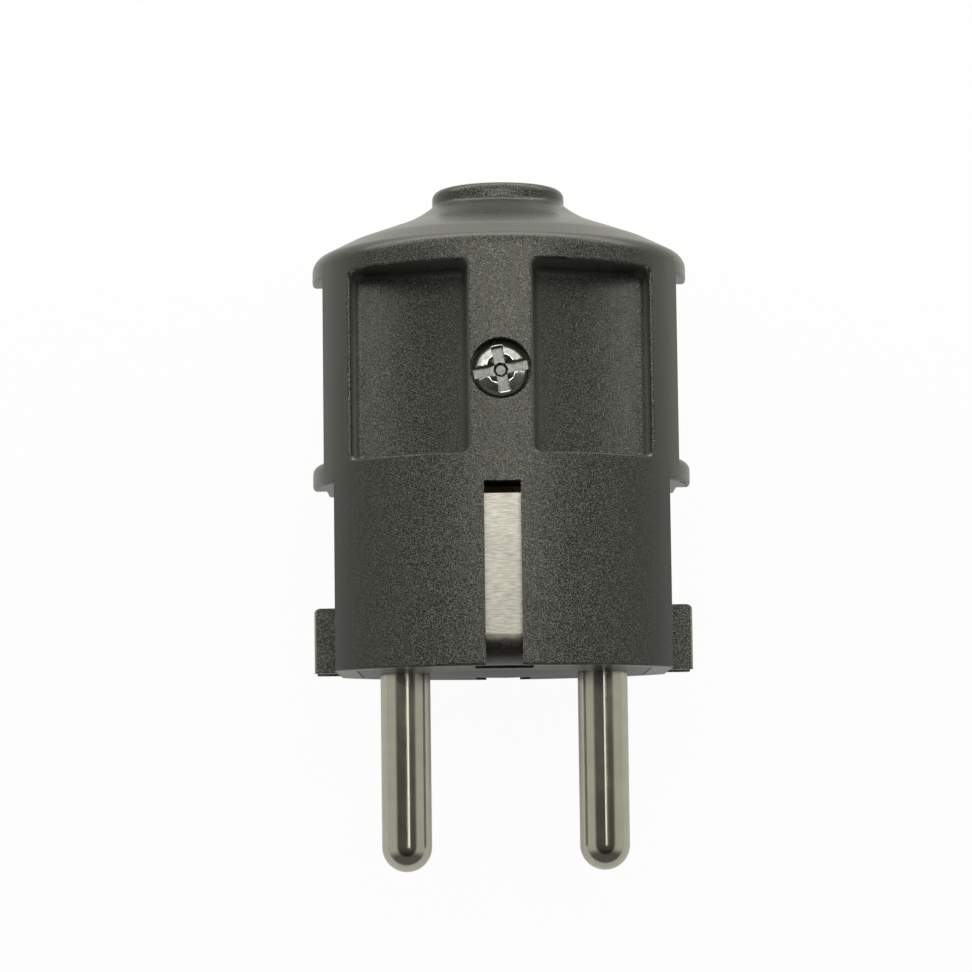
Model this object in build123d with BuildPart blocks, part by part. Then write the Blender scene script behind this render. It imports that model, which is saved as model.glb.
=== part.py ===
from build123d import *
from math import cos, hypot, radians, sqrt, tan
import os

# A straight two-pole plug with earthing contacts at its front and rear. Two moulded half
# shells close on a contact carrier, an earth strap and a cord clamp, and one screw through
# the front shell draws them together. All sizes are in millimetres.
# The plug lies on its rear shell: X runs across it, +Y points along it to the cord entry
# and +Z points out of the screw side. A station is a distance along the plug from its
# mouth, where the pins come out. The origin lies below the middle of the whole length,
# level with the flat along the rear shell.

# Outline of the moulded body, which narrows a little from its mouth to its shoulder
body_radius = 18.3
body_length = 46.87
body_draft = 0.18
rear_flat_depth = 0.27
wall = 2.0
mouth_rounding = 0.25
shoulder_station = 39.8
shoulder_rounding = 1.5
shoulder_angle = 26.8
crown_radius = 14.5
crown_rounding = 6.7
cone_angle = 20.0
flare_radius = 9.8
neck_base_station = 45.29
neck_base_rounding = 0.6
neck_radius = 6.41
neck_rim_rounding = 0.77
cord_bore_radius = 4.4

# Flats at the two sides, with an ear between them and a pair of fins at the mouth
lower_flat_depth = 2.43
grip_flat_depth = 1.4
ear_station = 17.75
ear_height = 2.32
ear_top_rounding = 0.8
ear_edge_rounding = 0.4
ear_root_rounding = 0.3
fin_height = 6.2
fin_thickness = 1.2
fin_rounding = 0.4
guide_notch_width = 5.4

# Scooped grip pockets on the front and the rear, either side of a narrow spine
pocket_bottom_station = 19.7
pocket_top_station = 37.6
pocket_rail_width = 2.9
pocket_floor_height = 7.8
pocket_scoop_radius = 18.0
pocket_root_rounding = 1.2
pocket_corner_rounding = 0.8
pocket_end_rounding = 0.6
pocket_rim_rounding = 0.25
spine_width = 5.9
spine_draft = 0.35

# Pins
pin_radius = 2.4
pin_length = 19.0
pin_spacing = 19.0
pin_neck_radius = 2.1
pin_head_radius = 3.6
pin_head_seat = 1.0
pin_head_length = 10.0

# Contact carrier, the moulded insert that fills the mouth
carrier_depth = 9.0
carrier_rib_station = 4.0
carrier_rib_width = 2.0
carrier_rib_height = 0.9
face_dome_radius = 7.0
face_dome_height = 0.45

# Earth strap, one folded strip that shows in a window on the front and on the rear
strap_width = 5.2
strap_thickness = 0.8
strap_recess = 1.15
strap_top_station = 15.9
strap_mouth_gap = 0.15
strap_leg_spacing = 5.0
strap_fold_radius = 2.4
strap_bridge_radius = 1.2
strap_corner_radius = 0.5
window_width = 3.4
window_top_station = 17.0

# Terminals: a wire goes in along the plug, and a screw from the front holds it
wire_hole_radius = 1.6
wire_hole_depth = 7.0
terminal_screw_radius = 1.5
terminal_screw_head_radius = 2.3
terminal_screw_head_height = 1.6
terminal_screw_stand = 0.5
terminal_screw_setback = 5.0
terminal_slot_width = 0.7
terminal_slot_depth = 0.8
terminal_rounding = 0.3
earth_block_width = 6.0
earth_block_length = 8.0
rivet_radius = 1.2
rivet_head_radius = 1.8
rivet_head_height = 0.6

# Central screw and the nut that it draws up
screw_station = 27.4
screw_radius = 1.5
screw_head_radius = 2.55
screw_head_height = 1.7
screw_head_dome = 0.7
screw_head_depth = 0.6
screw_end = 0.8
screw_slot_width = 1.0
screw_slot_depth = 1.2
screw_cross_length = 4.2
screw_recess_radius = 1.5
screw_recess_depth = 1.6
screw_recess_taper = 25.0
screw_drive_turn = 10.0
counterbore_radius = 2.85
boss_radius = 4.0
nut_across_flats = 5.5
nut_thickness = 2.4
nut_seat_depth = 9.0

# Stop ribs behind the pin heads
stop_rib_thickness = 1.5
stop_rib_gap = 2.0

# Cord clamp on two bosses of the rear shell, with a saddle rib between them
clamp_station = 36.0
clamp_length = 6.0
clamp_width = 22.0
clamp_arch_radius = 3.9
clamp_arch_thickness = 1.6
clamp_ear_thickness = 1.8
clamp_seat_depth = 1.4
clamp_corner_radius = 1.0
clamp_ridge_height = 0.5
clamp_ridge_width = 1.0
clamp_screw_spacing = 16.4
clamp_screw_grip = 4.5
clamp_boss_radius = 2.8
saddle_thickness = 1.6
saddle_width = 11.0

# Lip along the parting line of the shells
lip_width = 0.8
lip_height = 1.0
lip_end_gap = 0.8

# Clearances
shell_clearance = 0.1
pin_clearance = 0.05
pin_head_clearance = 0.77
strap_clearance = 0.1
thread_clearance = 0.05
screw_hole_clearance = 0.15
nut_clearance = 0.05

# Sizes that follow
mouth_y = (pin_length - body_length) / 2
shoulder_radius = body_radius - body_draft
axis_height = body_radius - rear_flat_depth
lower_flat = body_radius - lower_flat_depth
grip_flat = body_radius - grip_flat_depth
room_radius = body_radius - wall
ear_top_station = ear_station + ear_height
lower_room_top = pocket_bottom_station - wall
shoulder_rise = tan(radians(shoulder_angle))
shoulder_drop = wall / cos(radians(shoulder_angle))
cone_rise = tan(radians(cone_angle))
cone_drop = wall / cos(radians(cone_angle))
crown_station = shoulder_station + (shoulder_radius - crown_radius) * shoulder_rise
flare_station = crown_station + (crown_radius - flare_radius) * cone_rise
pocket_reach = grip_flat - pocket_rail_width
scoop_centre_height = pocket_floor_height + pocket_scoop_radius
pin_x = pin_spacing / 2
lower_room_half = pin_x + pin_head_radius + pin_head_clearance
grip_room_half = lower_room_half + lower_flat_depth - grip_flat_depth
pin_head_station = carrier_depth - pin_head_seat
pin_head_top = pin_head_station + pin_head_length
stop_rib_station = pin_head_top + shell_clearance
terminal_station = pin_head_top - terminal_screw_setback
strap_outer_depth = body_radius - strap_recess - strap_thickness / 2
strap_inner_depth = strap_outer_depth - strap_leg_spacing
strap_fold_station = strap_mouth_gap + strap_thickness / 2
strap_bridge_station = carrier_depth + strap_thickness / 2
tongue_start = strap_mouth_gap + strap_thickness + strap_clearance
tongue_bottom = strap_inner_depth + strap_thickness / 2 + strap_clearance
tongue_thickness = strap_leg_spacing - strap_thickness - 2 * strap_clearance
earth_block_station = carrier_depth + strap_thickness
earth_terminal_station = earth_block_station + earth_block_length - terminal_screw_setback
screw_head_top = body_radius - screw_head_depth
screw_seat_height = screw_head_top - screw_head_dome - screw_head_height
nut_pocket_width = nut_across_flats + 2 * nut_clearance
clamp_screw_x = clamp_screw_spacing / 2
clamp_ear_top = clamp_ear_thickness - clamp_seat_depth
clamp_screw_tip = -clamp_seat_depth - clamp_screw_grip
lower_lip_x = (lower_flat + lower_room_half) / 2
upper_lip_x = (grip_flat + grip_room_half) / 2
lower_lip_start = carrier_depth + lip_end_gap
lower_lip_end = ear_station - lip_end_gap
upper_lip_start = ear_top_station + lip_end_gap
upper_lip_end = pocket_top_station - lip_end_gap


def across(station):
    """Plane across the plug at a station. Its x is X, its y is up, and it faces the mouth."""
    return Plane(origin=(0, mouth_y + station, axis_height), x_dir=(1, 0, 0), z_dir=(0, -1, 0))


def level(height):
    """Level plane at a height above the plug's axis. Its x is X and its y is the station."""
    return Plane(origin=(0, mouth_y, axis_height + height), x_dir=(1, 0, 0), z_dir=(0, 0, 1))


def beside(x):
    """Upright plane along the plug at a distance to its right. Its x is the station."""
    return Plane(origin=(x, mouth_y, axis_height), x_dir=(0, 1, 0), z_dir=(1, 0, 0))


def upright(x, station):
    """Upright axis through the plug's axis height, at a distance to the right and a station."""
    return Axis((x, mouth_y + station, axis_height), (0, 0, 1))


def edges_at(piece, station):
    """Edges of a piece that lie across the plug at a station."""
    y = mouth_y + station
    return piece.edges().filter_by_position(Axis.Y, y - 0.01, y + 0.01)


def distance_out(edge):
    """Distance from the plug's axis to the middle of an edge."""
    middle = edge @ 0.5
    return hypot(middle.X, middle.Z - axis_height)


def scoop_height(x, radius):
    """Height above the axis of an arc about the scoop's centre, at a distance from the middle."""
    return scoop_centre_height - sqrt(radius**2 - (pocket_reach - x) ** 2)


plug_axis = Axis((0, mouth_y, axis_height), (0, 1, 0))
screw_top = Plane(origin=(0, mouth_y + screw_station, axis_height + body_radius))
lip_runs = [
    (side * x, start, end)
    for side in (-1, 1)
    for x, start, end in (
        (lower_lip_x, lower_lip_start, lower_lip_end),
        (upper_lip_x, upper_lip_start, upper_lip_end),
    )
]
strap_points = [
    (strap_top_station, strap_outer_depth),
    (strap_fold_station, strap_outer_depth),
    (strap_fold_station, strap_inner_depth),
    (strap_bridge_station, strap_inner_depth),
    (strap_bridge_station, -strap_inner_depth),
    (strap_fold_station, -strap_inner_depth),
    (strap_fold_station, -strap_outer_depth),
    (strap_top_station, -strap_outer_depth),
]
strap_radii = [
    strap_fold_radius,
    strap_fold_radius,
    strap_bridge_radius,
    strap_bridge_radius,
    strap_fold_radius,
    strap_fold_radius,
]

# The room inside the closed shells, as the cores of their moulds leave it
with BuildPart() as room:
    with BuildSketch(across(body_length)):
        with BuildLine():
            roof_radius = pocket_scoop_radius + wall
            roof_edge = pocket_floor_height - wall
            roof_middle = (boss_radius + pocket_reach) / 2
            ceiling = scoop_height(boss_radius, roof_radius)
            Polyline(
                (boss_radius, ceiling),
                (0, ceiling),
                (0, 0),
                (grip_room_half, 0),
                (grip_room_half, roof_edge),
                (pocket_reach, roof_edge),
            )
            ThreePointArc(
                (pocket_reach, roof_edge),
                (roof_middle, scoop_height(roof_middle, roof_radius)),
                (boss_radius, ceiling),
            )
        make_face()
        mirror(about=Plane.YZ)
        mirror(about=Plane.XZ)
    extrude(amount=body_length - lower_room_top)
    with BuildSketch(beside(0)):
        with BuildLine():
            room_shoulder = shoulder_station + wall * shoulder_rise - shoulder_drop
            room_crown = crown_station - cone_drop
            room_end = room_crown + (crown_radius - cord_bore_radius) * cone_rise
            Polyline(
                (0, 0),
                (0, room_radius),
                (room_shoulder, shoulder_radius - wall),
                (room_crown, crown_radius),
                (room_end, cord_bore_radius),
                (room_end, 0),
                close=True,
            )
        make_face()
    revolve(axis=plug_axis, mode=Mode.INTERSECT)
    with BuildSketch(across(lower_room_top)):
        Circle(room_radius)
        Rectangle(2 * lower_room_half, 2 * room_radius, mode=Mode.INTERSECT)
    extrude(amount=lower_room_top)
    # The groove that holds the carrier's rib
    with BuildSketch(across(carrier_rib_station + carrier_rib_width + shell_clearance)):
        Circle(room_radius + carrier_rib_height)
        Rectangle(2 * lower_room_half, 2 * body_radius, mode=Mode.INTERSECT)
    extrude(amount=carrier_rib_width + 2 * shell_clearance)
    # The cord bore through the neck
    with BuildSketch(across(body_length)):
        Circle(cord_bore_radius)
    extrude(amount=body_length - shoulder_station)
    # The bosses and ribs that stand in the room
    with BuildSketch(level(0)):
        with Locations((0, screw_station)):
            Circle(boss_radius)
    extrude(amount=body_radius, both=True, mode=Mode.SUBTRACT)
    with BuildSketch(level(-clamp_seat_depth)):
        with Locations((-clamp_screw_x, clamp_station), (clamp_screw_x, clamp_station)):
            Circle(clamp_boss_radius)
    extrude(amount=-body_radius, mode=Mode.SUBTRACT)
    with BuildSketch(across(clamp_station + saddle_thickness / 2)):
        with Locations((0, -clamp_seat_depth)):
            Rectangle(saddle_width, body_radius, align=(Align.CENTER, Align.MAX))
        Circle(clamp_arch_radius, mode=Mode.SUBTRACT)
    extrude(amount=saddle_thickness, mode=Mode.SUBTRACT)
    with BuildSketch(across(stop_rib_station + stop_rib_thickness)):
        Rectangle(2 * body_radius, 2 * body_radius)
        Rectangle(2 * body_radius, 2 * stop_rib_gap, mode=Mode.SUBTRACT)
    extrude(amount=stop_rib_thickness, mode=Mode.SUBTRACT)

# The four grip pockets, rounded in their corners as the cutter of a mould leaves them
with BuildPart() as grip_pockets:
    with BuildSketch(across(pocket_top_station)) as pocket_section:
        with BuildLine():
            spine_half = spine_width / 2
            spine_root = spine_half + spine_draft
            root_height = scoop_height(spine_root, pocket_scoop_radius)
            pocket_middle = (spine_root + pocket_reach) / 2
            Polyline(
                (spine_root, root_height),
                (spine_half, body_radius),
                (pocket_reach, body_radius),
                (pocket_reach, pocket_floor_height),
            )
            ThreePointArc(
                (pocket_reach, pocket_floor_height),
                (pocket_middle, scoop_height(pocket_middle, pocket_scoop_radius)),
                (spine_root, root_height),
            )
        make_face()
        corners = pocket_section.vertices()
        fillet(corners.sort_by_distance((spine_root, root_height))[0], pocket_root_rounding)
        corners = pocket_section.vertices()
        fillet(
            corners.sort_by_distance((pocket_reach, pocket_floor_height))[0],
            pocket_corner_rounding,
        )
        mirror(about=Plane.YZ)
        mirror(about=Plane.XZ)
    extrude(amount=pocket_top_station - pocket_bottom_station)
    by_station = grip_pockets.edges().group_by(Axis.Y)
    end_edges = (by_station[0] + by_station[-1]).filter_by_position(
        Axis.Z, axis_height - body_radius + 0.01, axis_height + body_radius - 0.01
    )
    fillet(end_edges, pocket_end_rounding)

# Both shells as one moulding, before the parting line divides them
with BuildPart() as housing:
    with BuildSketch(beside(0)) as outline:
        with BuildLine():
            side = FilletPolyline(
                (0, 0),
                (0, body_radius),
                (shoulder_station, shoulder_radius),
                (crown_station, crown_radius),
                (flare_station, flare_radius),
                radius=(mouth_rounding, shoulder_rounding, crown_rounding),
            )
            flare = TangentArc(side @ 1, (neck_base_station, neck_radius), tangent=side % 1)
            FilletPolyline(
                flare @ 1,
                (body_length, neck_radius),
                (body_length, 0),
                radius=neck_rim_rounding,
            )
            Line((body_length, 0), (0, 0))
        make_face()
        neck_base = outline.vertices().sort_by_distance((neck_base_station, neck_radius))[0]
        fillet(neck_base, neck_base_rounding)
    revolve(axis=plug_axis)
    # Flats at both sides, below and above the ear
    with BuildSketch(level(0)) as flats:
        with Locations((lower_flat, 0), (-lower_flat - body_radius, 0)):
            Rectangle(body_radius, ear_station, align=Align.MIN)
        with Locations((grip_flat, ear_top_station), (-grip_flat - body_radius, ear_top_station)):
            Rectangle(body_radius, pocket_top_station - ear_top_station, align=Align.MIN)
        ear_roots = flats.vertices().filter_by_position(Axis.X, -grip_flat, grip_flat)
        ear_roots = ear_roots.filter_by_position(Axis.Y, ear_top_station, ear_top_station)
        fillet(ear_roots, ear_root_rounding)
    extrude(amount=body_radius, both=True, mode=Mode.SUBTRACT)
    fillet(edges_at(housing, ear_top_station).filter_by(GeomType.CIRCLE), ear_top_rounding)
    fillet(edges_at(housing, ear_station).filter_by(GeomType.CIRCLE), ear_edge_rounding)
    fillet(edges_at(housing, pocket_top_station).filter_by(GeomType.CIRCLE), ear_edge_rounding)
    # The ears and the shoulder above them end at the parting line
    with BuildSketch(level(0)):
        with Locations((grip_flat, ear_station), (-grip_flat - body_radius, ear_station)):
            Rectangle(body_radius, body_length - ear_station, align=Align.MIN)
    extrude(amount=-body_radius, mode=Mode.SUBTRACT)
    # Fins either side of each guide notch
    fin_reach = body_radius - lower_room_half
    with BuildSketch(across(fin_height)):
        with GridLocations(
            2 * body_radius - fin_reach, guide_notch_width + fin_thickness, 2, 2
        ):
            Rectangle(fin_reach, fin_thickness)
        Circle(body_radius, mode=Mode.INTERSECT)
    extrude(amount=fin_height)
    fillet(edges_at(housing, fin_height).filter_by(GeomType.CIRCLE), fin_rounding)
    # Grip pockets, with their rims rounded
    add(grip_pockets.part, mode=Mode.SUBTRACT)
    rim_edges = housing.edges(Select.NEW).filter_by(
        lambda edge: distance_out(edge) > shoulder_radius - 0.01
    )
    fillet(rim_edges, pocket_rim_rounding)
    # The room inside, and the windows and channels of the earth strap
    add(room.part, mode=Mode.SUBTRACT)
    channel_half = strap_outer_depth + strap_thickness / 2 + strap_clearance
    with BuildSketch(across(window_top_station)):
        Rectangle(window_width, 2 * body_radius)
        Rectangle(strap_width + 2 * strap_clearance, 2 * channel_half)
    extrude(amount=window_top_station, mode=Mode.SUBTRACT)
    # Flat along the rear, on which the plug lies
    with BuildSketch(level(-axis_height)):
        with Locations((0, body_length / 2)):
            Rectangle(2 * body_radius, body_length)
    extrude(amount=-body_radius, mode=Mode.SUBTRACT)

# Front shell, with the counterbored screw hole and the grooves for the lips
with BuildPart() as front_shell:
    add(housing.part)
    split(bisect_by=level(0), keep=Keep.TOP)
    with Locations(screw_top):
        CounterBoreHole(
            radius=screw_radius + screw_hole_clearance,
            counter_bore_radius=counterbore_radius,
            counter_bore_depth=body_radius - screw_seat_height,
            depth=body_radius,
        )
    with BuildSketch(level(0)):
        for x, start, end in lip_runs:
            with Locations((x, (start + end) / 2)):
                Rectangle(lip_width + 2 * shell_clearance, end - start + 2 * shell_clearance)
    extrude(amount=lip_height + shell_clearance, mode=Mode.SUBTRACT)
front_shell.part.label = "front_shell"

# Rear shell, with the lips, the nut's pocket and the holes of the clamp screws
with BuildPart() as rear_shell:
    add(housing.part)
    split(bisect_by=level(0), keep=Keep.BOTTOM)
    with BuildSketch(level(0)):
        for x, start, end in lip_runs:
            with Locations((x, (start + end) / 2)):
                Rectangle(lip_width, end - start)
    extrude(amount=lip_height)
    with BuildSketch(level(0)):
        with Locations((0, screw_station)):
            Circle(screw_radius + screw_hole_clearance)
    extrude(amount=-body_radius, mode=Mode.SUBTRACT)
    with BuildSketch(level(-nut_seat_depth)):
        with Locations((0, screw_station)):
            RegularPolygon(nut_pocket_width / 2, 6, major_radius=False, rotation=30)
    extrude(amount=-body_radius, mode=Mode.SUBTRACT)
    with BuildSketch(level(-clamp_seat_depth)):
        with Locations((-clamp_screw_x, clamp_station), (clamp_screw_x, clamp_station)):
            Circle(terminal_screw_radius + thread_clearance)
    extrude(amount=-clamp_screw_grip - clamp_ridge_height, mode=Mode.SUBTRACT)
rear_shell.part.label = "rear_shell"

# Contact carrier, with a domed face, a retaining rib and slots that the strap folds around
with BuildPart() as contact_carrier:
    with BuildSketch(across(carrier_depth)):
        Circle(room_radius - shell_clearance)
        Rectangle(
            2 * (lower_room_half - shell_clearance), 2 * body_radius, mode=Mode.INTERSECT
        )
    extrude(amount=carrier_depth)
    with BuildSketch(across(carrier_rib_station + carrier_rib_width)):
        Circle(room_radius + carrier_rib_height - shell_clearance)
        Rectangle(
            2 * (lower_room_half - shell_clearance), 2 * body_radius, mode=Mode.INTERSECT
        )
    extrude(amount=carrier_rib_width)
    with BuildSketch(beside(0)):
        with BuildLine():
            face = TangentArc((-face_dome_height, 0), (0, face_dome_radius), tangent=(0, 1))
            Polyline(face @ 1, (face_dome_height, face_dome_radius), (face_dome_height, 0), face @ 0)
        make_face()
    revolve(axis=plug_axis)
    # Seats of the pin heads and bores of the pin necks
    with BuildSketch(across(carrier_depth)):
        with Locations((-pin_x, 0), (pin_x, 0)):
            Circle(pin_head_radius + pin_clearance)
    extrude(amount=pin_head_seat, mode=Mode.SUBTRACT)
    with BuildSketch(across(carrier_depth)):
        with Locations((-pin_x, 0), (pin_x, 0)):
            Circle(pin_neck_radius + pin_clearance)
    extrude(amount=carrier_depth, mode=Mode.SUBTRACT)
    # Recess of the rivet's head
    with BuildSketch(across(carrier_depth)):
        Circle(rivet_head_radius + strap_clearance)
    extrude(amount=rivet_head_height + strap_clearance, mode=Mode.SUBTRACT)
    # Slots and rim notches of the strap, which leave a tongue for each fold to wrap
    with BuildSketch(beside(0)):
        with Locations((-face_dome_height, strap_inner_depth - strap_thickness / 2 - strap_clearance)):
            Rectangle(carrier_depth + face_dome_height, body_radius, align=Align.MIN)
        with Locations((tongue_start, tongue_bottom)):
            RectangleRounded(
                body_length,
                tongue_thickness,
                strap_fold_radius - strap_thickness / 2 - strap_clearance,
                align=Align.MIN,
                mode=Mode.SUBTRACT,
            )
        mirror(about=Plane.XZ)
        with BuildLine():
            FilletPolyline(strap_points, radius=strap_radii)
        trace(line_width=strap_thickness + 2 * strap_clearance)
    extrude(amount=strap_width / 2 + strap_clearance, both=True, mode=Mode.SUBTRACT)
contact_carrier.part.label = "contact_carrier"


def turned_pin(side):
    """Pin turned in one piece with its terminal head, on the left (-1) or the right (1)."""
    with BuildPart() as pin:
        with BuildSketch(beside(side * pin_x)):
            with BuildLine():
                tip = TangentArc(
                    (-pin_length, 0), (pin_radius - pin_length, pin_radius), tangent=(0, 1)
                )
                FilletPolyline(
                    tip @ 1,
                    (-pin_clearance, pin_radius),
                    (-pin_clearance, pin_neck_radius),
                    (pin_head_station, pin_neck_radius),
                    (pin_head_station, pin_head_radius),
                    (pin_head_top, pin_head_radius),
                    (pin_head_top, 0),
                    radius=(0, 0, 0, terminal_rounding, terminal_rounding),
                )
                Line((pin_head_top, 0), tip @ 0)
            make_face()
        revolve(axis=Axis((side * pin_x, mouth_y, axis_height), (0, 1, 0)))
        with BuildSketch(across(pin_head_top)):
            with Locations((side * pin_x, 0)):
                Circle(wire_hole_radius)
        extrude(amount=wire_hole_depth, mode=Mode.SUBTRACT)
        with BuildSketch(level(0)):
            with Locations((side * pin_x, terminal_station)):
                Circle(terminal_screw_radius + thread_clearance)
        extrude(amount=pin_head_radius, mode=Mode.SUBTRACT)
    return pin.part


left_pin = turned_pin(-1)
left_pin.label = "left_pin"
right_pin = turned_pin(1)
right_pin.label = "right_pin"

# Earth strap, folded from one strip around both rims of the carrier
with BuildPart() as earth_strap:
    with BuildSketch(beside(0)):
        with BuildLine():
            FilletPolyline(strap_points, radius=strap_radii)
        trace(line_width=strap_thickness)
    extrude(amount=strap_width / 2, both=True)
    strap_ends = earth_strap.edges().filter_by(Axis.Z).group_by(Axis.Y)[-1]
    fillet(strap_ends, radius=strap_corner_radius)
    with BuildSketch(across(earth_block_station)):
        Circle(rivet_radius + thread_clearance)
    extrude(amount=strap_thickness, mode=Mode.SUBTRACT)
earth_strap.part.label = "earth_strap"

# Earth terminal, a block riveted through the middle of the strap
with BuildPart() as earth_terminal:
    with BuildSketch(across(earth_block_station + earth_block_length)):
        RectangleRounded(earth_block_width, earth_block_width, terminal_rounding)
    extrude(amount=earth_block_length)
    with BuildSketch(across(earth_block_station)):
        Circle(rivet_radius)
    extrude(amount=strap_thickness)
    with BuildSketch(across(carrier_depth)):
        Circle(rivet_head_radius)
    extrude(amount=rivet_head_height)
    with BuildSketch(across(earth_block_station + earth_block_length)):
        Circle(wire_hole_radius)
    extrude(amount=wire_hole_depth - terminal_rounding, mode=Mode.SUBTRACT)
    with BuildSketch(level(0)):
        with Locations((0, earth_terminal_station)):
            Circle(terminal_screw_radius + thread_clearance)
    extrude(amount=earth_block_width / 2, mode=Mode.SUBTRACT)
earth_terminal.part.label = "earth_terminal"


def pan_screw(x, station, seat_height, tip_height):
    """Slotted pan-head screw, standing upright with its head's seat and its tip at heights."""
    head_top = seat_height + terminal_screw_head_height
    with BuildPart() as screw:
        with BuildSketch(across(station)):
            with BuildLine():
                FilletPolyline(
                    (x, tip_height),
                    (x + terminal_screw_radius, tip_height),
                    (x + terminal_screw_radius, seat_height),
                    (x + terminal_screw_head_radius, seat_height),
                    (x + terminal_screw_head_radius, head_top),
                    (x, head_top),
                    (x, tip_height),
                    radius=(0, 0, 0, terminal_rounding, 0, 0),
                )
            make_face()
        revolve(axis=upright(x, station))
        with BuildSketch(level(head_top)):
            with Locations((x, station)):
                Rectangle(2 * terminal_screw_head_radius, terminal_slot_width)
        extrude(amount=-terminal_slot_depth, mode=Mode.SUBTRACT)
    return screw.part


pin_screw_seat = pin_head_radius + terminal_screw_stand
earth_screw_seat = earth_block_width / 2 + terminal_screw_stand
left_pin_screw = pan_screw(-pin_x, terminal_station, pin_screw_seat, 0)
left_pin_screw.label = "left_pin_screw"
right_pin_screw = pan_screw(pin_x, terminal_station, pin_screw_seat, 0)
right_pin_screw.label = "right_pin_screw"
earth_screw = pan_screw(0, earth_terminal_station, earth_screw_seat, 0)
earth_screw.label = "earth_screw"
left_clamp_screw = pan_screw(-clamp_screw_x, clamp_station, clamp_ear_top, clamp_screw_tip)
left_clamp_screw.label = "left_clamp_screw"
right_clamp_screw = pan_screw(clamp_screw_x, clamp_station, clamp_ear_top, clamp_screw_tip)
right_clamp_screw.label = "right_clamp_screw"

# Cord clamp, an arched bar that the two clamp screws draw down on the cord
with BuildPart() as cord_clamp:
    with BuildSketch(across(clamp_station + clamp_length / 2)):
        Circle(clamp_arch_radius + clamp_arch_thickness)
        with Locations((0, -clamp_seat_depth)):
            Rectangle(2 * body_radius, body_radius, align=(Align.CENTER, Align.MAX), mode=Mode.SUBTRACT)
            Rectangle(clamp_width, clamp_ear_thickness, align=(Align.CENTER, Align.MIN))
        Circle(clamp_arch_radius, mode=Mode.SUBTRACT)
        Rectangle(
            2 * clamp_arch_radius, body_radius, align=(Align.CENTER, Align.MAX), mode=Mode.SUBTRACT
        )
    extrude(amount=clamp_length)
    ear_corners = cord_clamp.edges().filter_by(Axis.Z)
    fillet(ear_corners.group_by(Axis.X)[0] + ear_corners.group_by(Axis.X)[-1], clamp_corner_radius)
    with BuildSketch(across(clamp_station + clamp_ridge_width / 2)):
        Circle(clamp_arch_radius)
        Circle(clamp_arch_radius - clamp_ridge_height, mode=Mode.SUBTRACT)
        Rectangle(
            2 * clamp_arch_radius, body_radius, align=(Align.CENTER, Align.MAX), mode=Mode.SUBTRACT
        )
    extrude(amount=clamp_ridge_width)
    with BuildSketch(level(-clamp_seat_depth)):
        with Locations((-clamp_screw_x, clamp_station), (clamp_screw_x, clamp_station)):
            Circle(terminal_screw_radius + screw_hole_clearance)
    extrude(amount=clamp_ear_thickness, mode=Mode.SUBTRACT)
cord_clamp.part.label = "cord_clamp"

# Central screw, with a domed head cut for a flat blade and for a cross
with BuildPart() as housing_screw:
    with BuildSketch(across(screw_station)):
        with BuildLine():
            dome = TangentArc(
                (0, screw_head_top),
                (screw_head_radius, screw_head_top - screw_head_dome),
                tangent=(1, 0),
            )
            screw_tip = -nut_seat_depth - nut_thickness - screw_end
            Polyline(
                dome @ 1,
                (screw_head_radius, screw_seat_height),
                (screw_radius, screw_seat_height),
                (screw_radius, screw_tip),
                (0, screw_tip),
                dome @ 0,
            )
        make_face()
    revolve(axis=upright(0, screw_station))
    with BuildSketch(level(screw_head_top)):
        with Locations((0, screw_station)):
            Rectangle(2 * screw_head_radius, screw_slot_width, rotation=screw_drive_turn)
            Rectangle(screw_slot_width, screw_cross_length, rotation=screw_drive_turn)
    extrude(amount=-screw_slot_depth, mode=Mode.SUBTRACT)
    with BuildSketch(level(screw_head_top)):
        with Locations((0, screw_station)):
            Circle(screw_recess_radius)
    extrude(amount=-screw_recess_depth, taper=screw_recess_taper, mode=Mode.SUBTRACT)
housing_screw.part.label = "housing_screw"

# Hexagon nut, held from turning by its pocket in the rear spine
with BuildPart() as housing_nut:
    with BuildSketch(level(-nut_seat_depth)):
        with Locations((0, screw_station)):
            RegularPolygon(nut_across_flats / 2, 6, major_radius=False, rotation=30)
            Circle(screw_radius + thread_clearance, mode=Mode.SUBTRACT)
    extrude(amount=-nut_thickness)
housing_nut.part.label = "housing_nut"

os.makedirs("parts", exist_ok=True)
pieces = [
    front_shell.part,
    rear_shell.part,
    contact_carrier.part,
    left_pin,
    right_pin,
    earth_strap.part,
    earth_terminal.part,
    left_pin_screw,
    right_pin_screw,
    earth_screw,
    cord_clamp.part,
    left_clamp_screw,
    right_clamp_screw,
    housing_screw.part,
    housing_nut.part,
]
for piece in pieces:
    export_step(piece, f"parts/{piece.label}.step")
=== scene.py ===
# %% [markdown]
# # A black mains plug, dressed for its picture
# The solid model of the plug comes in as a fixed frame: every piece is already at its real
# place and size, in metres. The plug lies on its rear half, with its screw side up. This
# lesson adds the light, the camera and the finishes, and makes the screws again with the
# threads and drive recesses that a solid modeller leaves plain.

# %% Load the frame
from math import cos, pi, radians, sin

import bpy
from mathutils import Matrix, Vector


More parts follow.
